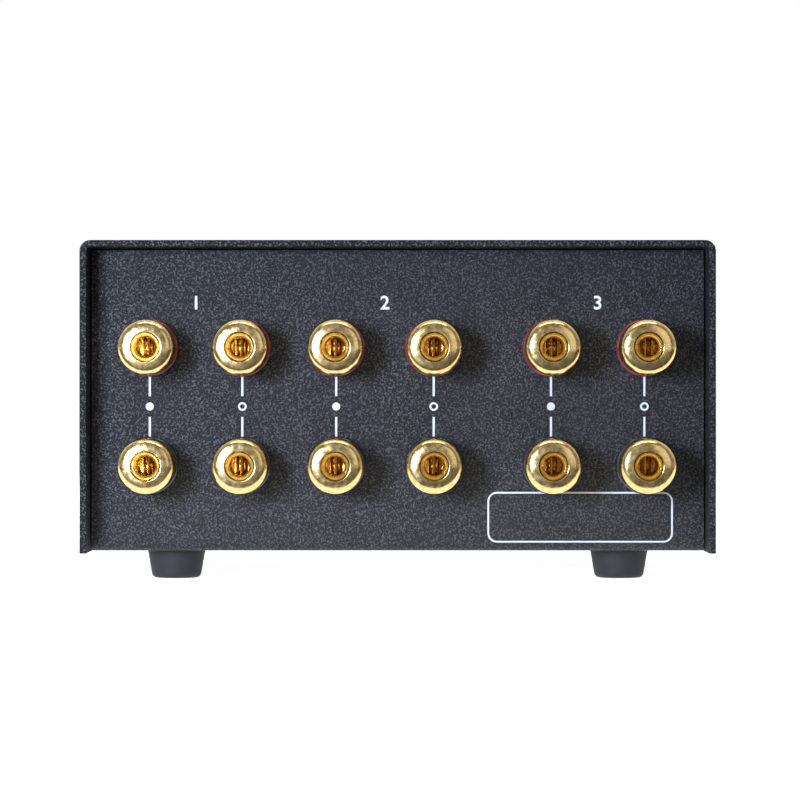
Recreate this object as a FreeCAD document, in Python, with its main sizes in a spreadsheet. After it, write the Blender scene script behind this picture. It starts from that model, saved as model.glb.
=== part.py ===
import FreeCAD, Part
import math
import os
import re
import Sketcher
from FreeCAD import Placement, Rotation, Vector

# Speaker selector switch box. The front with its knob faces -Y, the rear panel with its posts faces +Y.
# The origin is on the floor, under the middle of the whole object. All sizes are in millimetres.

SIZES = {
    # Case
    "cover_width": 140.0,
    "cover_height": 69.0,
    "cover_depth": 106.0,
    "cover_wall": 1.5,
    "corner_radius": 2.4,
    "cover_drop": 0.2,
    "recess_depth": 10.0,
    "sheet_thickness": 1.2,
    "bend_radius": 2.0,
    "side_gap": 0.3,
    "flange_height": 12.0,
    "flange_relief": 3.0,
    "cover_screw_height": 7.0,
    "cover_screw_inset": 22.0,
    "cover_screw_head": 2.7,
    "fascia_thickness": 4.0,
    "fascia_chamfer": 0.8,
    "fascia_screw_inset": 15.0,
    "fascia_screw_low": 10.0,
    "fascia_screw_high": 56.0,
    # Metric fasteners
    "screw_radius": 1.5,
    "screw_hole_radius": 1.65,
    "screw_head_radius": 2.75,
    "screw_head_height": 1.8,
    "screw_bite": 3.0,
    "screw_end": 1.0,
    "nut_width": 5.5,
    "nut_height": 2.4,
    # Feet
    "foot_height": 6.5,
    "foot_top_radius": 6.55,
    "foot_bottom_radius": 5.4,
    "foot_edge": 0.9,
    "foot_recess_radius": 3.3,
    "foot_recess_depth": 3.2,
    "front_foot_side_inset": 16.0,
    "rear_foot_side_inset": 20.0,
    "foot_end_inset": 13.0,
    # Binding posts: places of the columns and rows
    "first_in_left_x": 55.2,
    "first_in_right_x": 34.6,
    "second_in_left_x": 13.7,
    "second_in_right_x": -8.0,
    "out_left_x": -34.1,
    "out_right_x": -54.9,
    "upper_row_height": 45.4,
    "lower_row_height": 19.3,
    # Binding posts: pieces, measured out from the panel
    "post_length": 15.0,
    "stud_radius": 3.0,
    "stud_sunk": 0.2,
    "stud_tail": 4.0,
    "socket_radius": 2.1,
    "wire_hole_radius": 1.2,
    "running_clearance": 0.06,
    "seat_gap": 0.05,
    "bushing_radius": 6.4,
    "bushing_height": 2.2,
    "spigot_radius": 4.0,
    "ring_radius": 6.05,
    "ring_height": 2.4,
    "cap_radius": 6.05,
    "cap_crown": 1.2,
    "insulator_side": 12.0,
    "insulator_thickness": 1.5,
    "post_nut_width": 10.0,
    "post_nut_height": 3.0,
    # Knob and shaft
    "knob_radius": 14.0,
    "knob_taper": 1.0,
    "knob_length": 16.0,
    "knob_gap": 1.0,
    "knob_edge": 1.2,
    "knob_bore_depth": 12.0,
    "knob_recess_radius": 6.0,
    "knob_recess_depth": 1.5,
    "pointer_width": 1.6,
    "pointer_depth": 0.7,
    "pointer_inner_radius": 4.0,
    "pointer_angle": 30.0,
    "knob_height": 34.0,
    "shaft_radius": 3.0,
    "shaft_flat": 0.8,
    "setscrew_length": 6.0,
    # Rotary switch
    "threaded_bushing_radius": 4.5,
    "threaded_bushing_reach": 4.6,
    "fascia_hole_radius": 7.6,
    "switch_nut_width": 12.0,
    "switch_nut_height": 2.2,
    "lock_washer_radius": 6.8,
    "lock_washer_thickness": 0.5,
    "frame_plate_margin": 3.0,
    "frame_plate_height": 24.0,
    "frame_plate_thickness": 1.0,
    "wafer_radius": 14.0,
    "wafer_thickness": 1.6,
    "wafer_ear_height": 9.0,
    "wafer_spacing": 12.0,
    "rod_half_spacing": 16.0,
    "rod_radius": 1.25,
    "rod_end": 1.0,
    "shaft_end": 2.0,
    "spacer_radius": 2.4,
    "rotor_radius": 6.0,
    "rotor_thickness": 2.4,
    "contact_width": 2.4,
    "contact_thickness": 0.5,
    "contact_inner_radius": 10.0,
    "contact_reach": 18.0,
    "wire_radius": 1.0,
}

NAMES = re.compile(r"\b(" + "|".join(SIZES) + r")\b")
PLANES = {"XY": "XY_Plane", "XZ": "XZ_Plane", "YZ": "YZ_Plane"}
ALONG = {
    "x": Rotation(Vector(0, 1, 0), 90),
    "y": Rotation(Vector(1, 0, 0), -90),
    "z": Rotation(),
}

doc = FreeCAD.newDocument("speaker_selector")
sheet = doc.addObject("Spreadsheet::Sheet", "Sizes")
for row, (alias, number) in enumerate(SIZES.items(), start=1):
    sheet.set(f"A{row}", str(number))
    sheet.setAlias(f"A{row}", alias)
doc.recompute()

# Levels along Y and Z, as formulas of the sizes
LENGTH = "(knob_length + knob_gap + fascia_thickness + cover_depth - recess_depth + post_length)"
FASCIA_FRONT = f"(knob_length + knob_gap - {LENGTH} / 2)"
COVER_FRONT = f"({FASCIA_FRONT} + fascia_thickness)"
COVER_REAR = f"({COVER_FRONT} + cover_depth)"
PANEL = f"({COVER_REAR} - recess_depth)"
FRONT_WALL = f"({COVER_FRONT} + sheet_thickness)"
FLOOR_TOP = "(foot_height + sheet_thickness)"
COVER_BOTTOM = "(foot_height - cover_drop)"
CHASSIS_TOP = f"({COVER_BOTTOM} + cover_height - cover_wall - side_gap)"
CHASSIS_HALF = "(cover_width / 2 - cover_wall - side_gap)"
KNOB_AXIS = "(foot_height + knob_height)"
FRAME_REAR = f"({FRONT_WALL} + frame_plate_thickness)"
BACKED = "(sheet_thickness + insulator_thickness + post_nut_height)"
TAIL_END = f"({PANEL} - {BACKED} - stud_tail)"
FLAT_AT = "(shaft_radius - shaft_flat)"
COS = "cos(pointer_angle)"
SIN = "sin(pointer_angle)"
POINTER_TURN = Rotation(Vector(0, 1, 0), -SIZES["pointer_angle"])
SET_TURN = Rotation(Vector(0, 1, 0), 180 - SIZES["pointer_angle"])

COLUMNS = ("first_in_left", "first_in_right", "second_in_left", "second_in_right", "out_left", "out_right")
ROWS = {"pos": "upper_row_height", "neg": "lower_row_height"}
POSTS = [
    (f"{column}_{row}", f"{column}_x", f"({COVER_BOTTOM} + {height})")
    for row, height in ROWS.items()
    for column in COLUMNS
]
RED = [post for post in POSTS if post[0].endswith("pos")]
BLACK = [post for post in POSTS if post[0].endswith("neg")]

# Fastener places, shared by the pieces that they go through

FASCIA_SCREWS = [
    (f"{side}_{level}", x, f"(foot_height + fascia_screw_{level})")
    for side, x in (
        ("right", "(cover_width / 2 - fascia_screw_inset)"),
        ("left", "-(cover_width / 2 - fascia_screw_inset)"),
    )
    for level in ("low", "high")
]
FEET = [
    (f"{end}_{side}", f"{sign}(cover_width / 2 - {end}_foot_side_inset)", y)
    for end, y in (("front", f"({COVER_FRONT} + foot_end_inset)"), ("rear", f"({PANEL} - foot_end_inset)"))
    for side, sign in (("left", "-"), ("right", ""))
]
COVER_SCREW_Z = "(foot_height + cover_screw_height)"
COVER_SCREWS = [
    (f"{side}_{end}", sign, y)
    for side, sign in (("right", "1"), ("left", "-1"))
    for end, y in (
        ("front", f"({COVER_FRONT} + cover_screw_inset)"),
        ("rear", f"({PANEL} - cover_screw_inset)"),
    )
]
RODS = (("right", "rod_half_spacing"), ("left", "-rod_half_spacing"))

subparts = []


def value(text):
    """What a formula of the sizes comes to."""
    return float(sheet.evalExpression(text))


def tie(obj, field, text):
    """Bind one field of an object to a formula of the sizes."""
    obj.setExpression(field, NAMES.sub(r"Sizes.\g<0>", text))


def place(obj, x="0", y="0", z="0", rotation=Rotation()):
    """Turn an object, then tie its place to the sizes."""
    obj.Placement = Placement(Vector(), rotation)
    for field, text in (("x", x), ("y", y), ("z", z)):
        tie(obj, f"Placement.Base.{field}", text)
    return obj


def keep(obj, label):
    """Name a finished sub-part."""
    obj.Label = label
    subparts.append(obj)
    return obj


def box(name, length, width, height, x, y, z):
    """Block that starts at its lowest corner."""
    obj = doc.addObject("Part::Box", name)
    for field, text in (("Length", length), ("Width", width), ("Height", height)):
        tie(obj, field, text)
    return place(obj, x, y, z)


def cylinder(name, axis, radius, length, x="0", y="0", z="0"):
    """Cylinder that starts at a point and runs along one axis."""
    obj = doc.addObject("Part::Cylinder", name)
    tie(obj, "Radius", radius)
    tie(obj, "Height", length)
    return place(obj, x, y, z, ALONG[axis])


def cone(name, axis, start_radius, end_radius, length, x="0", y="0", z="0"):
    """Cone that starts at a point and runs along one axis."""
    obj = doc.addObject("Part::Cone", name)
    tie(obj, "Radius1", start_radius)
    tie(obj, "Radius2", end_radius)
    tie(obj, "Height", length)
    return place(obj, x, y, z, ALONG[axis])


def prism(name, axis, width, length, x="0", y="0", z="0"):
    """Hexagonal prism of a width across flats, along one axis."""
    obj = doc.addObject("Part::Prism", name)
    obj.Polygon = 6
    tie(obj, "Circumradius", f"{width} / 2 / cos(30)")
    tie(obj, "Height", length)
    return place(obj, x, y, z, ALONG[axis])


def gather(name, members):
    """Several solids held as one object, not joined."""
    obj = doc.addObject("Part::Compound", name)
    obj.Links = members
    return obj


def cut(name, base, tools):
    """A base less its tools."""
    obj = doc.addObject("Part::Cut", name)
    obj.Base = base
    obj.Tool = tools[0] if len(tools) == 1 else gather(f"{name}_tools", tools)
    return obj


def fuse(name, members):
    """Overlapping or touching solids joined into one."""
    obj = doc.addObject("Part::MultiFuse", name)
    obj.Shapes = members
    obj.Refine = True
    return obj


def outline(body, plane, points):
    """Closed sketch of straight lines whose corners are pairs of formulas."""
    sketch = body.newObject("Sketcher::SketchObject", f"{body.Name}_outline")
    role = PLANES[plane]
    origin = [feature for feature in body.Origin.OriginFeatures if feature.Role == role][0]
    sketch.AttachmentSupport = (origin, [""])
    sketch.MapMode = "FlatFace"
    corners = [Vector(value(across), value(up), 0) for across, up in points]
    count = len(corners)
    sides = [Part.LineSegment(corners[i], corners[(i + 1) % count]) for i in range(count)]
    sketch.addGeometry(sides, False)
    rules = [Sketcher.Constraint("Coincident", i, 2, (i + 1) % count, 1) for i in range(count)]
    for i, corner in enumerate(corners):
        rules.append(Sketcher.Constraint("DistanceX", -1, 1, i, 1, corner.x))
        rules.append(Sketcher.Constraint("DistanceY", -1, 1, i, 1, corner.y))
    sketch.addConstraint(rules)
    for i, (across, up) in enumerate(points):
        tie(sketch, f"Constraints[{count + 2 * i}]", across)
        tie(sketch, f"Constraints[{count + 2 * i + 1}]", up)
    return sketch


def turned(name, axis, profile, x="0", y="0", z="0"):
    """Lathe-turned piece: the profile holds pairs of radius and distance along the axis."""
    body = doc.addObject("PartDesign::Body", name)
    sketch = outline(body, {"y": "XY", "z": "XZ"}[axis], profile)
    spin = body.newObject("PartDesign::Revolution", f"{name}_turn")
    spin.Profile = sketch
    spin.ReferenceAxis = (sketch, ["V_Axis"])
    spin.Angle = 360.0
    sketch.Visibility = False
    return place(body, x, y, z)


def pressed(name, plane, points, length, x="0", y="0", z="0"):
    """Profile extended evenly to both sides of its plane."""
    body = doc.addObject("PartDesign::Body", name)
    sketch = outline(body, plane, points)
    pad = body.newObject("PartDesign::Pad", f"{name}_pad")
    pad.Profile = sketch
    tie(pad, "Length", length)
    pad.SideType = "Symmetric"
    sketch.Visibility = False
    return place(body, x, y, z)


def lines_at(shape, plane, across, up):
    """Names of the straight edges that stand on one point of a plane, square to it."""
    first, second = {"XY": "xy", "XZ": "xz", "YZ": "yz"}[plane]
    found = []
    for number, edge in enumerate(shape.Edges, start=1):
        ends = [vertex.Point for vertex in edge.Vertexes]
        near = [
            math.hypot(getattr(end, first) - across, getattr(end, second) - up) < 1e-4 for end in ends
        ]
        if len(ends) == 2 and all(near):
            found.append(f"Edge{number}")
    return found


def dress(body, kind, field, size, plane, points):
    """Fillet or chamfer the edges that stand on the given points of a body's plane."""
    doc.recompute()
    tip = body.Tip
    names = []
    for across, up in points:
        names += lines_at(tip.Shape, plane, value(across), value(up))
    feature = body.newObject(f"PartDesign::{kind}", f"{body.Name}_{kind.lower()}_{len(body.Group)}")
    feature.Base = (tip, names)
    tie(feature, field, size)
    body.Tip = feature
    return feature


# Base chassis: one sheet bent up into a front wall, a floor with side flanges and the rear panel


def base_chassis():
    rear, low, top = PANEL, "foot_height", CHASSIS_TOP
    walls = pressed(
        "chassis_walls",
        "YZ",
        [
            (COVER_FRONT, low),
            (rear, low),
            (rear, top),
            (f"{rear} - sheet_thickness", top),
            (f"{rear} - sheet_thickness", FLOOR_TOP),
            (FRONT_WALL, FLOOR_TOP),
            (FRONT_WALL, top),
            (COVER_FRONT, top),
        ],
        f"2 * {CHASSIS_HALF}",
    )
    dress(walls, "Fillet", "Radius", "bend_radius", "YZ", [(COVER_FRONT, low), (rear, low)])
    inner = [(FRONT_WALL, FLOOR_TOP), (f"{rear} - sheet_thickness", FLOOR_TOP)]
    dress(walls, "Fillet", "Radius", "bend_radius - sheet_thickness", "YZ", inner)
    half, tip = CHASSIS_HALF, "(foot_height + flange_height)"
    flanges = pressed(
        "chassis_flanges",
        "XZ",
        [
            (f"-{half}", low),
            (half, low),
            (half, tip),
            (f"{half} - sheet_thickness", tip),
            (f"{half} - sheet_thickness", FLOOR_TOP),
            (f"-{half} + sheet_thickness", FLOOR_TOP),
            (f"-{half} + sheet_thickness", tip),
            (f"-{half}", tip),
        ],
        f"{PANEL} - {COVER_FRONT} - 2 * (bend_radius + flange_relief)",
        y=f"({PANEL} + {COVER_FRONT}) / 2",
    )
    outer = [(f"-{half}", low), (half, low)]
    dress(flanges, "Fillet", "Radius", "bend_radius", "XZ", outer)
    inner = [(f"-{half} + sheet_thickness", FLOOR_TOP), (f"{half} - sheet_thickness", FLOOR_TOP)]
    dress(flanges, "Fillet", "Radius", "bend_radius - sheet_thickness", "XZ", inner)
    # Slots beside the flanges free their bends from the two walls
    slot = f"({half} - bend_radius)"
    slots = [
        box(f"relief_{side}_{end}", "1.5 * bend_radius", "flange_relief + bend_radius / 2",
            "2 * bend_radius", slot if side == "right" else f"-{half} - bend_radius / 2", y,
            f"{low} - bend_radius / 2")
        for side in ("right", "left")
        for end, y in (
            ("front", f"{COVER_FRONT} + bend_radius"),
            ("rear", f"{PANEL} - bend_radius - flange_relief - bend_radius / 2"),
        )
    ]
    holes = [
        cylinder(f"panel_hole_{name}", "y", "spigot_radius + seat_gap", "3 * sheet_thickness", x,
                 f"{PANEL} - 2 * sheet_thickness", z)
        for name, x, z in POSTS
    ]
    holes.append(
        cylinder("front_wall_hole", "y", "threaded_bushing_radius + seat_gap", "3 * sheet_thickness", "0",
                 f"{COVER_FRONT} - sheet_thickness", KNOB_AXIS)
    )
    holes += [
        cylinder(f"fascia_hole_{name}", "y", "screw_hole_radius", "3 * sheet_thickness", x,
                 f"{COVER_FRONT} - sheet_thickness", z)
        for name, x, z in FASCIA_SCREWS
    ]
    holes += [
        cylinder(f"foot_hole_{name}", "z", "screw_hole_radius", "3 * sheet_thickness", x, y,
                 "foot_height - sheet_thickness")
        for name, x, y in FEET
    ]
    holes += [
        cylinder(f"flange_hole_{name}", "x", "screw_radius + seat_gap", "3 * sheet_thickness",
                 f"{side} * {half} - 1.5 * sheet_thickness", y, COVER_SCREW_Z)
        for name, side, y in COVER_SCREWS
    ]
    sheet_metal = fuse("chassis_sheet", [walls, flanges])
    return keep(cut("chassis", sheet_metal, slots + holes), "base_chassis")


def top_cover():
    """Sheet bent into a top and two sides, which reach back past the rear panel."""
    half, low, top = "cover_width / 2", COVER_BOTTOM, f"({COVER_BOTTOM} + cover_height)"
    body = pressed(
        "cover_sheet",
        "XZ",
        [
            (f"-{half}", low),
            (f"-{half} + cover_wall", low),
            (f"-{half} + cover_wall", f"{top} - cover_wall"),
            (f"{half} - cover_wall", f"{top} - cover_wall"),
            (f"{half} - cover_wall", low),
            (half, low),
            (half, top),
            (f"-{half}", top),
        ],
        "cover_depth",
        y=f"({COVER_FRONT} + {COVER_REAR}) / 2",
    )
    dress(body, "Fillet", "Radius", "corner_radius", "XZ", [(f"-{half}", top), (half, top)])
    inner = [(f"{sign} * ({half} - cover_wall)", f"{top} - cover_wall") for sign in ("-1", "1")]
    dress(body, "Fillet", "Radius", "corner_radius - cover_wall", "XZ", inner)
    sinks = []
    for name, sign, y in COVER_SCREWS:
        start = f"{sign} * {half}"
        wide, narrow = "cover_screw_head + seat_gap", "screw_radius + seat_gap"
        if sign == "1":
            start = f"{half} - cover_wall"
            wide, narrow = narrow, wide
        sinks.append(cone(f"cover_sink_{name}", "x", wide, narrow, "cover_wall", start, y, COVER_SCREW_Z))
    return keep(cut("cover", body, sinks), "top_cover")


def front_fascia():
    """Flat plate over the case's front, held from behind, with a clear hole round the switch's nut."""
    half, low, top = "cover_width / 2", COVER_BOTTOM, f"({COVER_BOTTOM} + cover_height)"
    corners = [(f"-{half}", low), (half, low), (half, top), (f"-{half}", top)]
    middle = f"({FASCIA_FRONT} + {COVER_FRONT}) / 2"
    body = pressed("fascia_plate", "XZ", corners, "fascia_thickness", y=middle)
    dress(body, "Fillet", "Radius", "corner_radius", "XZ", corners)
    doc.recompute()
    tip = body.Tip
    front = -value("fascia_thickness") / 2
    names = [
        f"Edge{number}"
        for number, edge in enumerate(tip.Shape.Edges, start=1)
        if all(abs(vertex.Point.y - front) < 1e-4 for vertex in edge.Vertexes)
    ]
    bevel = body.newObject("PartDesign::Chamfer", "fascia_bevel")
    bevel.Base = (tip, names)
    tie(bevel, "Size", "fascia_chamfer")
    body.Tip = bevel
    bores = [
        cylinder("knob_hole", "y", "fascia_hole_radius", "2 * fascia_thickness", "0",
                 f"{FASCIA_FRONT} - fascia_thickness / 2", KNOB_AXIS)
    ]
    bores += [
        cylinder(f"tapped_{name}", "y", "screw_radius", "screw_bite + screw_end", x,
                 f"{COVER_FRONT} - screw_bite - seat_gap", z)
        for name, x, z in FASCIA_SCREWS
    ]
    return keep(cut("fascia", body, bores), "front_fascia")


def pan_screw(name, axis, grip, x, y, z, inward):
    """Round-headed screw whose head seats at a point; inward is +1 or -1 along the axis."""
    shift = {"y": y, "z": z}
    head_at = f"{shift[axis]} - screw_head_height" if inward > 0 else shift[axis]
    shank_at = shift[axis] if inward > 0 else f"{shift[axis]} - {grip}"
    spots = []
    for start in (head_at, shank_at):
        spots.append({"y": (x, start, z), "z": (x, y, start)}[axis])
    head = cylinder(f"{name}_head", axis, "screw_head_radius", "screw_head_height", *spots[0])
    shank = cylinder(f"{name}_shank", axis, "screw_radius", grip, *spots[1])
    return fuse(name, [head, shank])


def fasteners():
    """Screws and nuts that hold the fascia, the feet and the cover."""
    grip = "(sheet_thickness + screw_bite)"
    fascia = [
        pan_screw(f"fascia_screw_{name}", "y", grip, x, FRONT_WALL, z, -1) for name, x, z in FASCIA_SCREWS
    ]
    keep(gather("fascia_screw_set", fascia), "fascia_screws")
    grip = "(foot_height - foot_recess_depth + sheet_thickness + nut_height + screw_end / 2)"
    feet = [
        pan_screw(f"foot_screw_{name}", "z", grip, x, y, "foot_recess_depth", 1) for name, x, y in FEET
    ]
    keep(gather("foot_screw_set", feet), "foot_screws")
    nuts = [
        cut(
            f"foot_nut_{name}",
            prism(f"foot_hexagon_{name}", "z", "nut_width", "nut_height", x, y, FLOOR_TOP),
            [cylinder(f"foot_thread_{name}", "z", "screw_radius", "nut_height", x, y, FLOOR_TOP)],
        )
        for name, x, y in FEET
    ]
    keep(gather("foot_nut_set", nuts), "foot_nuts")
    screws = []
    for name, sign, y in COVER_SCREWS:
        outer = f"{sign} * cover_width / 2"
        reach = "(cover_wall + side_gap + sheet_thickness + screw_end)"
        if sign == "1":
            head = cone(f"cover_head_{name}", "x", "screw_radius", "cover_screw_head", "cover_wall",
                        f"{outer} - cover_wall", y, COVER_SCREW_Z)
            shank = cylinder(f"cover_shank_{name}", "x", "screw_radius", f"{reach} - cover_wall / 2",
                             f"{outer} - {reach}", y, COVER_SCREW_Z)
        else:
            head = cone(f"cover_head_{name}", "x", "cover_screw_head", "screw_radius", "cover_wall",
                        outer, y, COVER_SCREW_Z)
            shank = cylinder(f"cover_shank_{name}", "x", "screw_radius", f"{reach} - cover_wall / 2",
                             f"{outer} + cover_wall / 2", y, COVER_SCREW_Z)
        screws.append(fuse(f"cover_screw_{name}", [head, shank]))
    keep(gather("cover_screw_set", screws), "cover_screws")


def feet():
    """Tapered rubber feet, each with a recess for its screw's head."""
    for name, x, y in FEET:
        profile = [
            ("screw_hole_radius", "foot_recess_depth"),
            ("foot_recess_radius", "foot_recess_depth"),
            ("foot_recess_radius", "0"),
            ("foot_bottom_radius - foot_edge", "0"),
            ("foot_bottom_radius", "foot_edge"),
            ("foot_top_radius", "foot_height"),
            ("screw_hole_radius", "foot_height"),
        ]
        keep(turned(f"rubber_{name}", "z", profile, x, y), f"foot_{name}")


# Binding posts


def post_studs():
    """Gold-plated studs with a plug socket in the end and a wire hole across the socket's floor."""
    studs = []
    hole_at = "(bushing_height + wire_hole_radius + seat_gap)"
    for name, x, z in POSTS:
        end = "(post_length - stud_sunk)"
        rear = f"(-{BACKED} - stud_tail)"
        profile = [
            ("0", rear),
            ("stud_radius", rear),
            ("stud_radius", end),
            ("socket_radius", end),
            ("socket_radius", hole_at),
            ("0", hole_at),
        ]
        rod = turned(f"stud_rod_{name}", "y", profile, x, PANEL, z)
        drill = cylinder(f"wire_drill_{name}", "z", "wire_hole_radius", "4 * stud_radius", x,
                         f"{PANEL} + {hole_at}", f"{z} - 2 * stud_radius")
        studs.append(cut(f"stud_{name}", rod, [drill]))
    keep(gather("stud_set", studs), "post_studs")


def post_bushings():
    """Moulded flanges outside the panel, each with a spigot that centres it in its hole."""
    bore = "(stud_radius + seat_gap)"
    profile = [
        (bore, "-sheet_thickness"),
        ("spigot_radius", "-sheet_thickness"),
        ("spigot_radius", "0"),
        ("bushing_radius", "0"),
        ("bushing_radius", "bushing_height"),
        (bore, "bushing_height"),
    ]
    for label, posts in (("post_bushings_red", RED), ("post_bushings_black", BLACK)):
        members = [turned(f"bushing_{name}", "y", profile, x, PANEL, z) for name, x, z in posts]
        keep(gather(f"{label}_set", members), label)


def post_backing():
    """Square insulators and hexagonal nuts that hold each stud from inside the panel."""
    plates, nuts = [], []
    for name, x, z in POSTS:
        inner = f"{PANEL} - sheet_thickness - insulator_thickness"
        plate = box(f"plate_{name}", "insulator_side", "insulator_thickness", "insulator_side",
                    f"{x} - insulator_side / 2", inner, f"{z} - insulator_side / 2")
        hole = cylinder(f"plate_hole_{name}", "y", "stud_radius + seat_gap", "insulator_thickness",
                        x, inner, z)
        plates.append(cut(f"insulator_{name}", plate, [hole]))
        start = f"{PANEL} - {BACKED}"
        hexagon = prism(f"hexagon_{name}", "y", "post_nut_width", "post_nut_height", x, start, z)
        thread = cylinder(f"thread_{name}", "y", "stud_radius", "post_nut_height", x, start, z)
        nuts.append(cut(f"post_nut_{name}", hexagon, [thread]))
    keep(gather("insulator_set", plates), "post_insulators")
    keep(gather("post_nut_set", nuts), "post_nuts")


def post_caps():
    """Screw caps that clamp a bare wire, each behind a ring that slides on the stud without turning."""
    bore = "(stud_radius + running_clearance)"
    ring_at = "(bushing_height + seat_gap)"
    cap_at = f"({ring_at} + ring_height + seat_gap)"
    cap_length = f"(post_length - {cap_at})"
    ring = [(bore, "0"), ("ring_radius", "0"), ("ring_radius", "ring_height"), (bore, "ring_height")]
    cap = [
        (bore, "0"),
        ("cap_radius", "0"),
        ("cap_radius", f"{cap_length} - cap_crown"),
        ("cap_radius - cap_crown", cap_length),
        (bore, cap_length),
    ]
    for name, x, z in POSTS:
        keep(turned(f"clamp_ring_{name}", "y", ring, x, f"{PANEL} + {ring_at}", z), f"ring_{name}")
        keep(turned(f"screw_cap_{name}", "y", cap, x, f"{PANEL} + {cap_at}", z), f"cap_{name}")


# Rotary switch and knob


def switch_mounting():
    """Threaded bushing with its nut and lock washer, and the plate that carries the wafers."""
    bore = "(shaft_radius + running_clearance)"
    reach = f"{COVER_FRONT} - threaded_bushing_reach"
    profile = [
        (bore, "0"),
        ("threaded_bushing_radius", "0"),
        ("threaded_bushing_radius", "threaded_bushing_reach + sheet_thickness + frame_plate_thickness"),
        (bore, "threaded_bushing_reach + sheet_thickness + frame_plate_thickness"),
    ]
    keep(turned("threaded_sleeve", "y", profile, "0", reach, KNOB_AXIS), "switch_bushing")
    half = "(rod_half_spacing + frame_plate_margin)"
    plate = box("frame_blank", f"2 * {half}", "frame_plate_thickness", "frame_plate_height", f"-{half}",
                FRONT_WALL, f"{KNOB_AXIS} - frame_plate_height / 2")
    holes = [cylinder("frame_hole", "y", "threaded_bushing_radius", "frame_plate_thickness", "0",
                      FRONT_WALL, KNOB_AXIS)]
    holes += [
        cylinder(f"frame_rod_hole_{name}", "y", "rod_radius", "frame_plate_thickness", x, FRONT_WALL,
                 KNOB_AXIS)
        for name, x in RODS
    ]
    keep(cut("frame_plate", plate, holes), "switch_frame")
    washer = cut(
        "washer_ring",
        cylinder("washer_disc", "y", "lock_washer_radius", "lock_washer_thickness", "0",
                 f"{COVER_FRONT} - lock_washer_thickness", KNOB_AXIS),
        [cylinder("washer_hole", "y", "threaded_bushing_radius + seat_gap", "lock_washer_thickness", "0",
                  f"{COVER_FRONT} - lock_washer_thickness", KNOB_AXIS)],
    )
    keep(washer, "switch_lock_washer")
    start = f"{COVER_FRONT} - lock_washer_thickness - switch_nut_height"
    nut = cut(
        "switch_nut_body",
        prism("switch_hexagon", "y", "switch_nut_width", "switch_nut_height", "0", start, KNOB_AXIS),
        [cylinder("switch_thread", "y", "threaded_bushing_radius", "switch_nut_height", "0", start,
                  KNOB_AXIS)],
    )
    keep(nut, "switch_nut")


def wafer_front(index):
    """Where a wafer's front face lies; the first is the nearer to the knob."""
    return f"({FRAME_REAR} + {index} * wafer_spacing + {index - 1} * wafer_thickness)"


def wafer(index, label):
    """Laminate disc with two ears, holed for the rods and for the rotor that turns in it."""
    start = wafer_front(index)
    disc = cylinder(f"wafer_disc_{index}", "y", "wafer_radius", "wafer_thickness", "0", start, KNOB_AXIS)
    ears = box(f"wafer_ears_{index}", "2 * (rod_half_spacing + wafer_ear_height / 2)", "wafer_thickness",
               "wafer_ear_height", "-rod_half_spacing - wafer_ear_height / 2", start,
               f"{KNOB_AXIS} - wafer_ear_height / 2")
    holes = [cylinder(f"rotor_hole_{index}", "y", "rotor_radius + running_clearance",
                      "wafer_thickness", "0", start, KNOB_AXIS)]
    holes += [
        cylinder(f"wafer_rod_hole_{index}_{name}", "y", "rod_radius", "wafer_thickness", x, start,
                 KNOB_AXIS)
        for name, x in RODS
    ]
    keep(cut(f"wafer_body_{index}", fuse(f"wafer_blank_{index}", [disc, ears]), holes), label)


def switch_stack():
    """Wafers, the rods and spacers that hold them, and their contacts."""
    wafer(1, "switch_wafer_front")
    wafer(2, "switch_wafer_rear")
    rods, spacers = [], []
    rear = f"({wafer_front(2)} + wafer_thickness + rod_end)"
    for name, x in RODS:
        length = f"{rear} - {FRONT_WALL}"
        rods.append(cylinder(f"rod_{name}", "y", "rod_radius", length, x, FRONT_WALL, KNOB_AXIS))
        for index in (1, 2):
            start = f"({wafer_front(index)} - wafer_spacing)"
            where = (x, start, KNOB_AXIS)
            tube = cylinder(f"spacer_tube_{index}_{name}", "y", "spacer_radius", "wafer_spacing", *where)
            bore = cylinder(f"spacer_bore_{index}_{name}", "y", "rod_radius", "wafer_spacing", *where)
            spacers.append(cut(f"spacer_{index}_{name}", tube, [bore]))
    keep(gather("rod_set", rods), "switch_rods")
    keep(gather("spacer_set", spacers), "switch_spacers")


def terminal(index, place_in_row):
    """Angle of a contact and the plane of its rear face; reds lie over the shaft, blacks under it."""
    step = 180 / len(COLUMNS)
    angle = step / 2 + place_in_row * step
    face = f"({wafer_front(index)} + wafer_thickness + contact_thickness)"
    return (angle if index == 1 else -angle), face


def contacts_and_wires():
    """Contact blades on the wafers, and a wire from each stud's tail to its blade."""
    blades = []
    for index, posts, label in ((1, RED, "wires_red"), (2, BLACK, "wires_black")):
        wires = []
        for order, (name, x, z) in enumerate(posts):
            angle, face = terminal(index, order)
            blade = box(f"blade_{name}", "contact_reach - contact_inner_radius", "contact_thickness",
                        "contact_width", "0", "0", "0")
            spin = Rotation(Vector(0, 1, 0), -angle)
            corner = spin.multVec(Vector(1, 0, 0))
            across = spin.multVec(Vector(0, 0, 1))
            place(
                blade,
                f"{corner.x} * contact_inner_radius - {across.x} * contact_width / 2",
                f"{face} - contact_thickness",
                f"{KNOB_AXIS} + {corner.z} * contact_inner_radius - {across.z} * contact_width / 2",
                spin,
            )
            blades.append(blade)
            wires.append(wire(name, x, z, corner, face))
        keep(gather(f"{label}_set", wires), label)
    keep(gather("blade_set", blades), "switch_contacts")


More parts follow.
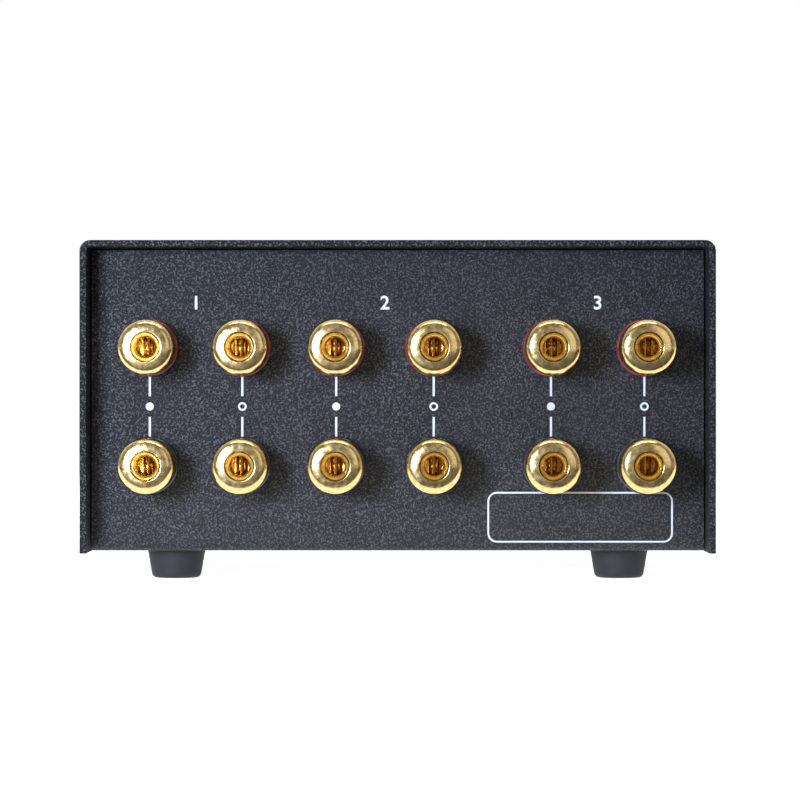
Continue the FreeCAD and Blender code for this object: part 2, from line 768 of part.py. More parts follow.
def wire(name, x, z, corner, face):
    """Straight insulated lead; each end stands off so far that its slanted rim clears its seat."""
    radius = value("wire_radius")
    reach = value("contact_reach") - radius
    seat = value("seat_gap")
    first = Vector(value(x), value(TAIL_END), value(z))
    last = Vector(corner.x * reach, value(face), value(KNOB_AXIS) + corner.z * reach)
    slope = (last - first).normalize()
    stand_off = radius * math.hypot(slope.x, slope.z) + seat
    first.y -= stand_off
    last.y += stand_off
    path = last - first
    lead = doc.addObject("Part::Feature", f"lead_{name}")
    lead.Shape = Part.makeCylinder(radius, path.Length, Vector(), path)
    lead.Placement = Placement(first, Rotation())
    return lead


def shaft_and_rotors():
    """Shaft from the knob through both wafers, with a rotor pressed on it in each."""
    knob_end = f"({FASCIA_FRONT} - knob_gap - knob_bore_depth)"
    rear = f"({wafer_front(2)} + wafer_thickness + shaft_end)"
    rod = cylinder("shaft_rod", "y", "shaft_radius", f"{rear} - {knob_end}", "0", knob_end, KNOB_AXIS)
    flat = box("shaft_flat_cut", "2 * shaft_radius", "knob_bore_depth", "shaft_flat", "0", "0", "0")
    place(
        flat,
        f"shaft_radius * {COS} + {FLAT_AT} * {SIN}",
        knob_end,
        f"{KNOB_AXIS} + shaft_radius * {SIN} - {FLAT_AT} * {COS}",
        SET_TURN,
    )
    keep(cut("shaft", rod, [flat]), "switch_shaft")
    for index, label in ((1, "switch_rotor_front"), (2, "switch_rotor_rear")):
        start = f"({wafer_front(index)} + wafer_thickness / 2 - rotor_thickness / 2)"
        where = ("0", start, KNOB_AXIS)
        disc = cylinder(f"rotor_disc_{index}", "y", "rotor_radius", "rotor_thickness", *where)
        bore = cylinder(f"rotor_bore_{index}", "y", "shaft_radius", "rotor_thickness", *where)
        keep(cut(f"rotor_{index}", disc, [bore]), label)


def knob():
    """Turned knob with a pointer groove, a bore for the shaft and a set screw opposite the pointer."""
    body = turned(
        "knob_turning",
        "y",
        [
            ("0", "0"),
            ("knob_radius - knob_taper - knob_edge", "0"),
            ("knob_radius - knob_taper", "knob_edge"),
            ("knob_radius", "knob_length"),
            ("knob_recess_radius", "knob_length"),
            ("knob_recess_radius", "knob_length - knob_recess_depth"),
            ("shaft_radius", "knob_length - knob_recess_depth"),
            ("shaft_radius", "knob_length - knob_bore_depth"),
            ("0", "knob_length - knob_bore_depth"),
        ],
        "0",
        f"{FASCIA_FRONT} - knob_gap - knob_length",
        KNOB_AXIS,
    )
    groove = box("pointer_groove", "pointer_width", "2 * pointer_depth", "knob_radius", "0", "0", "0")
    place(
        groove,
        f"-pointer_width / 2 * {COS} - pointer_inner_radius * {SIN}",
        f"{FASCIA_FRONT} - knob_gap - knob_length - pointer_depth",
        f"{KNOB_AXIS} - pointer_width / 2 * {SIN} + pointer_inner_radius * {COS}",
        POINTER_TURN,
    )
    middle = f"{FASCIA_FRONT} - knob_gap - knob_bore_depth / 2"
    tapped = cylinder("setscrew_hole", "z", "screw_radius", "knob_radius", "0", "0", "0")
    screw = cylinder("setscrew_rod", "z", "screw_radius", "setscrew_length", "0", "0", "0")
    for piece in (tapped, screw):
        place(piece, f"{FLAT_AT} * {SIN}", middle, f"{KNOB_AXIS} - {FLAT_AT} * {COS}", SET_TURN)
    keep(cut("knob_body", body, [groove, tapped]), "knob")
    keep(screw, "knob_setscrew")


base_chassis()
top_cover()
front_fascia()
fasteners()
feet()
post_studs()
post_bushings()
post_backing()
post_caps()
switch_mounting()
switch_stack()
contacts_and_wires()
shaft_and_rotors()
knob()
doc.recompute()

for obj in doc.Objects:
    if "Invalid" in obj.State or "Error" in obj.State:
        raise RuntimeError(f"{obj.Label} did not build: {obj.State}")
for part in subparts:
    if part.Shape.isNull() or not part.Shape.isValid() or not part.Shape.Solids:
        raise RuntimeError(f"{part.Label} has no valid solid")

os.makedirs("parts", exist_ok=True)
for part in subparts:
    part.Shape.exportStep(f"parts/{part.Label}.step")
print(len(subparts), "sub-parts,", sum(len(part.Shape.Solids) for part in subparts), "solids")
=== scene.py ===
import math

import bmesh
import bpy
import numpy as np
from mathutils import Matrix, Vector


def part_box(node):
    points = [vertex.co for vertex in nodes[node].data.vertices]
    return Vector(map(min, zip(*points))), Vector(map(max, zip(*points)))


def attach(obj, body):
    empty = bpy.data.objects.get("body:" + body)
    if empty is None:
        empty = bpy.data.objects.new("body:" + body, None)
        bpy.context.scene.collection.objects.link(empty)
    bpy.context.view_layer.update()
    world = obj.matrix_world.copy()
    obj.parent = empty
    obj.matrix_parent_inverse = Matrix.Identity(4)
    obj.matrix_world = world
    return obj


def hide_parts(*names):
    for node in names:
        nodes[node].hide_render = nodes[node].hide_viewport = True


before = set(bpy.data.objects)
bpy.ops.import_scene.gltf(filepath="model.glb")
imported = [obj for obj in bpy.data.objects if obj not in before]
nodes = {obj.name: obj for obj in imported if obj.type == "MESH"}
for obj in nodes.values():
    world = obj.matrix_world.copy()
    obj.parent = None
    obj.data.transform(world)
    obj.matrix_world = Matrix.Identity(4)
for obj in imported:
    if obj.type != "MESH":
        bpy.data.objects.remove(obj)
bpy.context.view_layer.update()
MM = 0.001

# View. The box is seen squarely from behind, from 0.8 m in front of the cover's rear edge.
# The middle of the picture lies a little beside the middle of the box and near half its height.

viewing_distance = 0.8
picture_width = 0.1759
eye_beside = -0.5 * MM
eye_height = 40.1 * MM
cover_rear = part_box("top_cover")[1].y

lens = bpy.data.cameras.new("camera")
lens.sensor_width = 36.0
lens.lens = lens.sensor_width * viewing_distance / picture_width
lens.clip_end = 20.0
camera = bpy.data.objects.new("camera", lens)
camera.location = (eye_beside, cover_rear + viewing_distance, eye_height)
camera.rotation_euler = (math.radians(90), 0, math.radians(180))
bpy.context.scene.collection.objects.link(camera)
bpy.context.scene.camera = camera
bpy.context.scene.view_settings.view_transform = "Standard"

# Studio. A soft lamp stands left of the view, a wide weak one above it, one at the right and one before the
# fascia, and a pale floor lies under the feet. The gold mirrors a room that is dim behind the camera, and a
# grey table in front of the panel that only reflections show.


def add_node(tree, kind, inputs=None, **settings):
    """One shader node, with its settings and the values of its sockets."""
    made = tree.nodes.new(kind)
    for key, value in settings.items():
        setattr(made, key, value)
    for key, value in (inputs or {}).items():
        made.inputs[key].default_value = value
    return made


def window(name, place, aim, width, height, watts, colour):
    """Soft rectangular light at a place, turned towards a point."""
    light = bpy.data.lights.new(name, "AREA")
    light.shape = "RECTANGLE"
    light.size = width
    light.size_y = height
    light.energy = watts
    light.color = colour
    lamp = bpy.data.objects.new(name, light)
    lamp.location = place
    facing = Vector(aim) - Vector(place)
    lamp.rotation_mode = "QUATERNION"
    lamp.rotation_quaternion = facing.to_track_quat("-Z", "Y")
    lamp.visible_camera = False
    bpy.context.scene.collection.objects.link(lamp)
    return lamp


panel_middle = (0.0, 0.051, 0.04)
window("window_left", (0.182, 0.45, 0.085), panel_middle, 0.11, 0.11, 2.3, (0.66, 0.77, 1.0))
window("window_above", (0.0, 0.28, 0.42), panel_middle, 0.40, 0.08, 0.6, (1.0, 0.98, 0.95))
window("window_right", (-0.30, 0.72, 0.20), panel_middle, 0.26, 0.36, 0.22, (1.0, 0.97, 0.93))
window("window_front", (0.35, -0.75, 0.50), (0.0, 0.0, 0.04), 0.5, 0.3, 6.0, (1.0, 0.99, 0.97))

room_behind, room_beside, room_overhead = 0.28, 0.5, 1.15
fill_level, backdrop_level = 0.06, 1.0
world = bpy.data.worlds.new("studio")
world.use_nodes = True
bpy.context.scene.world = world
sky = world.node_tree
sky.nodes.clear()
rays = add_node(sky, "ShaderNodeLightPath")
heading = add_node(sky, "ShaderNodeTexCoord")
split = add_node(sky, "ShaderNodeSeparateXYZ")
room = add_node(sky, "ShaderNodeMapRange", {"From Min": -0.1, "From Max": 0.5, "To Max": room_behind})
levels = {"From Min": 0.0, "From Max": 0.9, "To Min": room_beside, "To Max": room_overhead}
overhead = add_node(sky, "ShaderNodeMapRange", levels)
sky.links.new(heading.outputs["Generated"], split.inputs[0])
sky.links.new(split.outputs["Y"], room.inputs["Value"])
sky.links.new(split.outputs["Z"], overhead.inputs["Value"])
sky.links.new(overhead.outputs["Result"], room.inputs["To Min"])
fill = add_node(sky, "ShaderNodeBackground", {"Color": (1, 1, 1, 1), "Strength": fill_level})
seen = add_node(sky, "ShaderNodeBackground", {"Color": (1, 1, 1, 1), "Strength": backdrop_level})
mirrored = add_node(sky, "ShaderNodeBackground", {"Color": (1.0, 0.98, 0.95, 1)})
sky.links.new(room.outputs["Result"], mirrored.inputs["Strength"])
glossy = add_node(sky, "ShaderNodeMixShader")
sky.links.new(rays.outputs["Is Glossy Ray"], glossy.inputs["Fac"])
sky.links.new(fill.outputs[0], glossy.inputs[1])
sky.links.new(mirrored.outputs[0], glossy.inputs[2])
clear = add_node(sky, "ShaderNodeMath", operation="MAXIMUM")
sky.links.new(rays.outputs["Is Camera Ray"], clear.inputs[0])
sky.links.new(rays.outputs["Is Transmission Ray"], clear.inputs[1])
choice = add_node(sky, "ShaderNodeMixShader")
sky.links.new(clear.outputs[0], choice.inputs["Fac"])
sky.links.new(glossy.outputs[0], choice.inputs[1])
sky.links.new(seen.outputs[0], choice.inputs[2])
horizon = add_node(sky, "ShaderNodeOutputWorld")
sky.links.new(choice.outputs[0], horizon.inputs["Surface"])


def new_material(name, colour, roughness, metallic=0.0, specular=0.5):
    """Material with one Principled shader whose plain values are set on its own sockets."""
    made = bpy.data.materials.new(name)
    made.use_nodes = True
    shader = made.node_tree.nodes["Principled BSDF"]
    shader.inputs["Base Color"].default_value = (*colour, 1)
    shader.inputs["Roughness"].default_value = roughness
    shader.inputs["Metallic"].default_value = metallic
    shader.inputs["Specular IOR Level"].default_value = specular
    return made, made.node_tree, shader


def stage_sheet(name, low, high, height, material):
    """Flat rectangle between two corners (x, y), at a height."""
    mesh = bpy.data.meshes.new(name)
    corners = [(low[0], low[1]), (high[0], low[1]), (high[0], high[1]), (low[0], high[1])]
    mesh.from_pydata([(x, y, height) for x, y in corners], [], [(0, 1, 2, 3)])
    mesh.materials.append(material)
    made = bpy.data.objects.new(name, mesh)
    bpy.context.scene.collection.objects.link(made)
    return made


paper = bpy.data.materials.new("floor_paper")
paper.use_nodes = True
tree = paper.node_tree
tree.nodes.clear()
floor_lift, floor_sheen = 0.95, 1.3
matt = add_node(tree, "ShaderNodeBsdfDiffuse", {"Color": (0.8, 0.8, 0.8, 1)})
rays = add_node(tree, "ShaderNodeLightPath")
lift = add_node(tree, "ShaderNodeMath", {1: floor_lift}, operation="MULTIPLY")
sheen = add_node(tree, "ShaderNodeMath", {1: floor_sheen}, operation="MULTIPLY_ADD")
glow = add_node(tree, "ShaderNodeEmission", {"Color": (1, 1, 1, 1)})
both = add_node(tree, "ShaderNodeAddShader")
out = add_node(tree, "ShaderNodeOutputMaterial")
tree.links.new(rays.outputs["Is Camera Ray"], lift.inputs[0])
tree.links.new(rays.outputs["Is Glossy Ray"], sheen.inputs[0])
tree.links.new(lift.outputs[0], sheen.inputs[2])
tree.links.new(sheen.outputs[0], glow.inputs["Strength"])
tree.links.new(matt.outputs[0], both.inputs[0])
tree.links.new(glow.outputs[0], both.inputs[1])
tree.links.new(both.outputs[0], out.inputs["Surface"])
floor_half = 6.0
floor = stage_sheet("floor", (-floor_half, -floor_half), (floor_half, floor_half), 0, paper)

table_grey, tree, shader = new_material("table_grey", (0.16, 0.15, 0.13), 0.9)
table_start, table_end, table_half, table_height = 0.108, 1.4, 1.2, 0.4 * MM
table = stage_sheet(
    "table_in_front", (-table_half, table_start), (table_half, table_end), table_height, table_grey
)
table.visible_camera = False
table.visible_diffuse = False
table.visible_shadow = False
table.visible_transmission = False


# Base chassis. One sheet of 1.2 mm steel, bent up into the front wall, the floor and the rear panel, and
# powder coated in a fine black grain. The posts and the switch go through its holes.


def effect_group(name, inputs, outputs):
    """Empty node group with named float inputs and outputs, and its two end nodes."""
    group = bpy.data.node_groups.new(name, "ShaderNodeTree")
    for label, value in inputs.items():
        socket = group.interface.new_socket(label, in_out="INPUT", socket_type="NodeSocketFloat")
        socket.default_value = value
    for label in outputs:
        group.interface.new_socket(label, in_out="OUTPUT", socket_type="NodeSocketFloat")
    return group, group.nodes.new("NodeGroupInput"), group.nodes.new("NodeGroupOutput")


def place_group(tree, group, **values):
    """One use of a node group, with its own values."""
    used = add_node(tree, "ShaderNodeGroup", node_tree=group)
    for label, value in values.items():
        used.inputs[label.replace("_", " ").title()].default_value = value
    return used


def scale_for(group, size):
    """Scale of a texture whose features have a size in metres: one over the size."""
    per_metre = add_node(group, "ShaderNodeMath", {0: 1.0}, operation="DIVIDE")
    group.links.new(size, per_metre.inputs[1])
    return per_metre.outputs[0]


grain, ends_in, ends_out = effect_group("powder_grain", {"Size": 0.0006}, ("Height", "Cloud"))
position = add_node(grain, "ShaderNodeTexCoord")
scale = scale_for(grain, ends_in.outputs["Size"])
pebbles = add_node(grain, "ShaderNodeTexVoronoi", {"Randomness": 1.0}, feature="SMOOTH_F1")
dust = add_node(grain, "ShaderNodeTexNoise", {"Detail": 3.0, "Roughness": 0.6})
patches = add_node(grain, "ShaderNodeTexNoise", {"Scale": 90.0, "Detail": 2.0})
for texture in (pebbles, dust, patches):
    grain.links.new(position.outputs["Object"], texture.inputs["Vector"])
for texture in (pebbles, dust):
    grain.links.new(scale, texture.inputs["Scale"])
pebble_weight = 0.8
bumps = add_node(grain, "ShaderNodeMath", {1: -pebble_weight}, operation="MULTIPLY_ADD")
grain.links.new(pebbles.outputs["Distance"], bumps.inputs[0])
grain.links.new(dust.outputs["Fac"], bumps.inputs[2])
grain.links.new(bumps.outputs[0], ends_out.inputs["Height"])
grain.links.new(patches.outputs["Fac"], ends_out.inputs["Cloud"])


def mix_colours(tree, share, low, high):
    """Colour that runs from low to high with a share from 0 to 1."""
    mixed = add_node(tree, "ShaderNodeMix", data_type="RGBA")
    mixed.inputs["A"].default_value = (*low, 1)
    mixed.inputs["B"].default_value = (*high, 1)
    tree.links.new(share, mixed.inputs["Factor"])
    return mixed.outputs["Result"]


def remap(tree, share, low, high, start=0.0, end=1.0):
    """A share between start and end carried to low and high."""
    mapped = add_node(
        tree, "ShaderNodeMapRange", {"From Min": start, "From Max": end, "To Min": low, "To Max": high}
    )
    tree.links.new(share, mapped.inputs["Value"])
    return mapped.outputs["Result"]


def vary(tree, shader, mask, tones, sheens, tone_from=(0.3, 0.7), sheen_from=(0.3, 0.7)):
    """Base colour between two tones and roughness between two values, each as a mask crosses a range."""
    share = remap(tree, mask, 0, 1, *tone_from)
    tree.links.new(mix_colours(tree, share, *tones), shader.inputs["Base Color"])
    tree.links.new(remap(tree, mask, *sheens, *sheen_from), shader.inputs["Roughness"])


def raise_surface(tree, shader, height, depth, strength=1.0):
    """Bump of a real depth in metres, fed to the shader's normal."""
    bump = add_node(tree, "ShaderNodeBump", {"Distance": depth, "Strength": strength})
    tree.links.new(height, bump.inputs["Height"])
    tree.links.new(bump.outputs["Normal"], shader.inputs["Normal"])


def powder(name, size, dull, shiny, depth, specular):
    """Grained black powder coat, its pebbles shinier than the hollows, their tops painted paler as painted
    glints and the hollows darker as painted shade.
    """
    made, tree, shader = new_material(name, (0.03, 0.03, 0.033), dull, specular=specular)
    coat = place_group(tree, grain, size=size)
    # Painted glints and painted shade: the pebble tops take the pale tone and the hollows the dark one; the
    # grain pattern itself is the coat's own.
    tones = (0.001, 0.001, 0.002), (0.066, 0.065, 0.069)
    pebble_top = (0.20, 0.32)
    vary(tree, shader, coat.outputs["Height"], tones, (dull, shiny), pebble_top, pebble_top)
    raise_surface(tree, shader, coat.outputs["Height"], depth)
    return made


panel_coat = powder("panel_coat", 0.0004, 0.62, 0.24, 0.00017, 0.45)


def merged_copy(node, name, edge, turn=35.0):
    """Copy of a CAD node with its triangles joined, its sharp edges eased by a bevel and the rest smooth."""
    mesh = nodes[node].data.copy()
    mesh.materials.clear()
    work = bmesh.new()
    work.from_mesh(mesh)
    bmesh.ops.remove_doubles(work, verts=work.verts, dist=0.000002)
    bmesh.ops.dissolve_limit(work, angle_limit=math.radians(0.5), verts=work.verts, edges=work.edges)
    work.to_mesh(mesh)
    work.free()
    mesh.shade_smooth()
    mesh.set_sharp_from_angle(angle=math.radians(turn))
    made = bpy.data.objects.new(name, mesh)
    bpy.context.scene.collection.objects.link(made)
    if edge:
        bevel = made.modifiers.new("eased_edges", "BEVEL")
        bevel.width = edge
        bevel.segments = 2
        bevel.limit_method = "ANGLE"
        bevel.angle_limit = math.radians(turn)
    return made


def fit(made, body, material, slot, *replaced):
    """Give a piece its material, the body it rides on and the CAD nodes it stands for."""
    made.data.materials.append(material)
    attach(made, body)
    if replaced:
        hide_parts(*replaced)
    return made


chassis = merged_copy("base_chassis", "chassis_sheet", 0.1 * MM)
fit(chassis, "case", panel_coat, "panel_paint", "base_chassis")


# Printed marks. White ink screened on the rear panel: a line from each upper post to the one under it,
# broken by the mark of its channel, a plain number over each pair of columns, and one empty field.

panel_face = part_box("base_chassis")[1].y
ink_height, ink_spread = 0.02 * MM, 0.018
ink_width = 0.48 * MM
post_columns = (
    "first_in_left", "first_in_right", "second_in_left", "second_in_right", "out_left", "out_right",
)
post_rows = ("pos", "neg")
posts = [(column, row) for column in post_columns for row in post_rows]


def middle_of(node):
    """Centre of a CAD node's box."""
    low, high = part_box(node)
    return (low + high) / 2


def skin(name, points, along, turn=30.0):
    """Surface over a grid of points, closed round its second index, and along its first where asked.
    Each face joins four neighbours, the whole is turned outward by the sign of its volume, and points
    that coincide at poles are joined. The map runs round from 0 to 1 and along in millimetres."""
    steps, sides = points.shape[:2]
    i = np.arange(steps if along else steps - 1)[:, None]
    j = np.arange(sides)[None, :]
    i2, j2 = (i + 1) % steps, (j + 1) % sides
    corners = [(i, j), (i, j2), (i2, j2), (i2, j)]
    faces = np.stack([(a * sides + b) + 0 * (i + j) for a, b in corners], axis=-1).reshape(-1, 4)
    flat = points.reshape(-1, 3)
    a, b, c, d = (flat[faces[:, k]] for k in range(4))
    volume = (a * (np.cross(b, c) + np.cross(c, d))).sum()
    order = [0, 1, 2, 3] if volume > 0 else [3, 2, 1, 0]
    mesh = bpy.data.meshes.new(name)
    mesh.from_pydata(flat.tolist(), [], faces[:, order].tolist())
    length = np.zeros(steps + 1)
    hops = np.linalg.norm(np.diff(points[:, 0], axis=0, append=points[:1, 0]), axis=1)
    length[1:] = np.cumsum(hops)
    share = np.arange(sides + 1) / sides
    i, j = i + 0 * j, j + 0 * i
    wide = np.stack([share[j], share[j + 1], share[j + 1], share[j]], axis=-1)
    tall = np.stack([length[i], length[i], length[i + 1], length[i + 1]], axis=-1)
    layer = mesh.uv_layers.new(name="surface")
    uv = np.stack([wide.reshape(-1, 4)[:, order], tall.reshape(-1, 4)[:, order] / MM], axis=-1)
    layer.data.foreach_set("uv", uv.astype(np.float32).ravel())
    work = bmesh.new()
    work.from_mesh(mesh)
    bmesh.ops.remove_doubles(work, verts=work.verts, dist=0.0000005)
    work.to_mesh(mesh)
    work.free()
    mesh.shade_smooth()
    mesh.set_sharp_from_angle(angle=math.radians(turn))
    made = bpy.data.objects.new(name, mesh)
    bpy.context.scene.collection.objects.link(made)
    return made


def ink_line(name, path, closed, width=ink_width):
    """Flat line of ink: a low box section carried along a path of (x, z) points on the panel.
    Each point is set off to both sides along the normal of its path, at the panel and at the ink's height."""
    path = np.array(path, float)
    if closed:
        step = np.roll(path, -1, axis=0) - np.roll(path, 1, axis=0)
    else:
        step = np.gradient(path, axis=0)
    step = step / np.linalg.norm(step, axis=1)[:, None]
    side = np.stack([-step[:, 1], step[:, 0]], axis=1) * width / 2
    edges = [path - side, path + side]
    low, high = panel_face, panel_face + ink_height
    ring = [(edges[0], low), (edges[1], low), (edges[1], high), (edges[0], high)]
    points = np.stack([np.stack([e[:, 0], np.full(len(e), y), e[:, 1]], axis=1) for e, y in ring], axis=1)
    if not closed:
        poles = points.mean(axis=1, keepdims=True).repeat(4, 1)
        points = np.concatenate([poles[:1], points, poles[-1:]])
    return skin(name, points, closed)


def round_path(width, height, radius, steps=8):
    """Corners of a rectangle round its middle, each eased by a quarter circle."""
    quarter = np.linspace(0, math.pi / 2, steps)
    arcs = []
    for k, (sx, sz) in enumerate(((1, 1), (-1, 1), (-1, -1), (1, -1))):
        turn = quarter + k * math.pi / 2
        centre = np.array([sx * (width / 2 - radius), sz * (height / 2 - radius)])
        arcs.append(centre + radius * np.stack([np.cos(turn), np.sin(turn)], axis=1))
    return np.concatenate(arcs)


ink, tree, shader = new_material("white_ink", (0.78, 0.79, 0.80), 0.45)
coat = place_group(tree, grain, size=0.0004)
share = remap(tree, coat.outputs["Cloud"], 0, 1, 0.3, 0.7)
ink_colour = mix_colours(tree, share, (0.78, 0.78, 0.79), (0.96, 0.96, 0.97))
tree.links.new(ink_colour, shader.inputs["Base Color"])
raise_surface(tree, shader, coat.outputs["Height"], 0.00004, 0.5)

mark_gap = 2.3 * MM
flange_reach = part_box("post_bushings_red")[1].z - middle_of("cap_out_left_pos").z
for column in post_columns:
    upper, lower = (middle_of(f"cap_{column}_{row}") for row in post_rows)
    halfway = (upper.z + lower.z) / 2
    spans = {
        "upper": (upper.z - flange_reach, halfway + mark_gap),
        "lower": (halfway - mark_gap, lower.z + flange_reach),
    }
    for part, (start, end) in spans.items():
        path = [(upper.x, z) for z in np.linspace(start, end, 5)]
        fit(ink_line(f"line_{column}_{part}", path, False), "case", ink, "panel_paint")
    turn = np.linspace(0, 2 * math.pi, 33)[:-1]
    if column.endswith("left"):
        radius, width = 0.45 * MM, 0.88 * MM
    else:
        radius, width = 0.75 * MM, 0.42 * MM
    path = np.stack([upper.x + radius * np.cos(turn), halfway + radius * np.sin(turn)], axis=1)
    fit(ink_line(f"mark_{column}", path, True, width), "case", ink, "panel_paint")

field_width, field_height, field_radius = 40.9 * MM, 10.9 * MM, 1.9 * MM
field_middle = np.array([-40.6 * MM, 14.0 * MM])
field_line = 0.4 * MM
path = round_path(field_width, field_height, field_radius) + field_middle
fit(ink_line("empty_field", path, True, field_line), "case", ink, "panel_paint")


def printed_number(name, text, size, place, toward):
    """Plain figure as a thin solid of ink, centred at a place on a face.
    It stands upright and reads from the side that the face looks to (+1 or -1 along Y)."""
    curve = bpy.data.curves.new(name, "FONT")
    curve.body = text
    curve.size = size
    curve.extrude = ink_height / 2
    curve.offset = size * ink_spread
    curve.align_x = "CENTER"
    curve.align_y = "CENTER"
    letters = bpy.data.objects.new(name + "_curve", curve)
    bpy.context.scene.collection.objects.link(letters)
    bpy.context.view_layer.update()
    mesh = bpy.data.meshes.new_from_object(letters.evaluated_get(bpy.context.evaluated_depsgraph_get()))
    bpy.data.objects.remove(letters)
    across = -1.0 if toward > 0 else 1.0
    mesh.transform(
        Matrix((
            (across, 0, 0, place[0]),
            (0, 0, float(toward), place[1] + toward * ink_height / 2),
            (0, 1, 0, place[2]),
            (0, 0, 0, 1),
        ))
    )
    mesh.name = name
    made = bpy.data.objects.new(name, mesh)
    bpy.context.scene.collection.objects.link(made)
    return made


title_height = 61.6 * MM
title_size = 4.2 * MM
for number, (left, right) in enumerate(zip(post_columns[::2], post_columns[1::2]), start=1):
    x = (middle_of(f"cap_{left}_pos").x + middle_of(f"cap_{right}_pos").x) / 2
    title = printed_number(f"title_{number}", str(number), title_size, (x, panel_face, title_height), 1)
    fit(title, "case", ink, "panel_paint")


# Top cover. One sheet of 1.5 mm steel bent down at both sides, in the same powder coat. It reaches back
# past the rear panel, and four countersunk screws hold it to the chassis.

cover_coat = powder("cover_coat", 0.00042, 0.74, 0.46, 0.00015, 0.36)
cover = merged_copy("top_cover", "cover_sheet", 0.25 * MM)
fit(cover, "case", cover_coat, "case_paint", "top_cover")


# Front fascia. A 4 mm aluminium plate, brushed along its width and anodised black, held by screws from
# behind. Its edges are milled with a fine chamfer, and the knob's two stops are printed on it.

brushing, ends_in, ends_out = effect_group("brushed_lines", {"Pitch": 0.0002}, ("Streak",))
position = add_node(brushing, "ShaderNodeTexCoord")
stretch = add_node(brushing, "ShaderNodeMapping", {"Scale": (0.02, 1.0, 1.0)})
streaks = add_node(brushing, "ShaderNodeTexNoise", {"Detail": 4.0, "Roughness": 0.65})
brushing.links.new(position.outputs["Object"], stretch.inputs["Vector"])
brushing.links.new(stretch.outputs["Vector"], streaks.inputs["Vector"])
brushing.links.new(scale_for(brushing, ends_in.outputs["Pitch"]), streaks.inputs["Scale"])
brushing.links.new(streaks.outputs["Fac"], ends_out.inputs["Streak"])

black_anodised, tree, shader = new_material("black_anodised", (0.03, 0.03, 0.032), 0.38, specular=0.45)
streak = place_group(tree, brushing, pitch=0.00022).outputs["Streak"]
tones = (0.008, 0.008, 0.009), (0.026, 0.026, 0.028)
vary(tree, shader, streak, tones, (0.30, 0.46))
raise_surface(tree, shader, streak, 0.00001, 0.6)

fascia = merged_copy("front_fascia", "fascia_plate", 0.12 * MM)
fit(fascia, "case", black_anodised, "fascia_metal", "front_fascia")

fascia_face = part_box("front_fascia")[0].y
knob_low, knob_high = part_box("knob")
knob_axis = (knob_low + knob_high) / 2
stop_angle = math.radians(30)
stop_reach, stop_size = 22.0 * MM, 5.0 * MM
for number, sign in ((1, -1), (2, 1)):
    place = (
        knob_axis.x + sign * stop_reach * math.sin(stop_angle),
        fascia_face,
        knob_axis.z + stop_reach * math.cos(stop_angle),
    )
    stop = printed_number(f"stop_{number}", str(number), stop_size, place, -1)
    fit(stop, "case", ink, "fascia_metal")


# Feet. Four moulded rubber cones with an eased lower edge and a recess that hides the head of the screw
# that holds each to the floor of the chassis.


def rounded(corners, steps=6):
    """Closed profile of (radius, reach) whose corners are eased.
    A corner with an easing e becomes the curve (1-t)^2 a + 2t(1-t) p + t^2 b, where a and b lie e before
    and after the corner p on its two sides, and t runs from 0 to 1."""
    corners = np.array(corners, float)
    point, ease = corners[:, :2], corners[:, 2:]
    before, after = np.roll(point, 1, axis=0) - point, np.roll(point, -1, axis=0) - point
    start = point + ease * before / np.linalg.norm(before, axis=1)[:, None]
    end = point + ease * after / np.linalg.norm(after, axis=1)[:, None]
    t = np.linspace(0, 1, steps)[None, :, None]
    curve = (1 - t) ** 2 * start[:, None] + 2 * t * (1 - t) * point[:, None] + t**2 * end[:, None]
    return curve.reshape(-1, 2)


def turned(name, radius, reach, centre, axis, closed=True, turn=30.0):
    """Turned surface: point (i, j) lies radius[i, j] from the axis, at the angle 2 pi j / sides, and
    reach[i, j] along the axis from the centre."""
    sides = radius.shape[1]
    angle = 2 * math.pi * np.arange(sides) / sides
    across, up = radius * np.sin(angle), radius * np.cos(angle)
    order = {"y": (across, reach, up), "z": (across, up, reach), "x": (reach, across, up)}[axis]
    points = np.stack(order, axis=-1) + np.array(centre)
    return skin(name, points, closed, turn=turn)


def plain_turned(name, corners, centre, axis, sides, turn=30.0):
    """Turned piece of one eased profile all round."""
    profile = rounded(corners)
    grid = np.ones((1, sides))
    return turned(name, profile[:, :1] * grid, profile[:, 1:] * grid, centre, axis, turn=turn)


moulding, ends_in, ends_out = effect_group("moulded_skin", {"Size": 0.0005}, ("Height", "Mottle"))
position = add_node(moulding, "ShaderNodeTexCoord")
fine = add_node(moulding, "ShaderNodeTexNoise", {"Detail": 2.0, "Roughness": 0.5})
broad = add_node(moulding, "ShaderNodeTexNoise", {"Scale": 260.0, "Detail": 3.0})
moulding.links.new(position.outputs["Object"], fine.inputs["Vector"])
moulding.links.new(position.outputs["Object"], broad.inputs["Vector"])
moulding.links.new(scale_for(moulding, ends_in.outputs["Size"]), fine.inputs["Scale"])
moulding.links.new(fine.outputs["Fac"], ends_out.inputs["Height"])
moulding.links.new(broad.outputs["Fac"], ends_out.inputs["Mottle"])


def moulded(name, dark, light, roughness, size, depth, coat=0.0):
    """Moulded plastic or rubber: a base colour that drifts a little and a fine skin."""
    made, tree, shader = new_material(name, light, roughness)
    shader.inputs["Coat Weight"].default_value = coat
    shader.inputs["Coat Roughness"].default_value = 0.06
    used = place_group(tree, moulding, size=size)
    sheens = roughness * 0.85, roughness * 1.15
    vary(tree, shader, used.outputs["Mottle"], (dark, light), sheens, sheen_from=(0, 1))
    raise_surface(tree, shader, used.outputs["Height"], depth, 0.6)
    return made


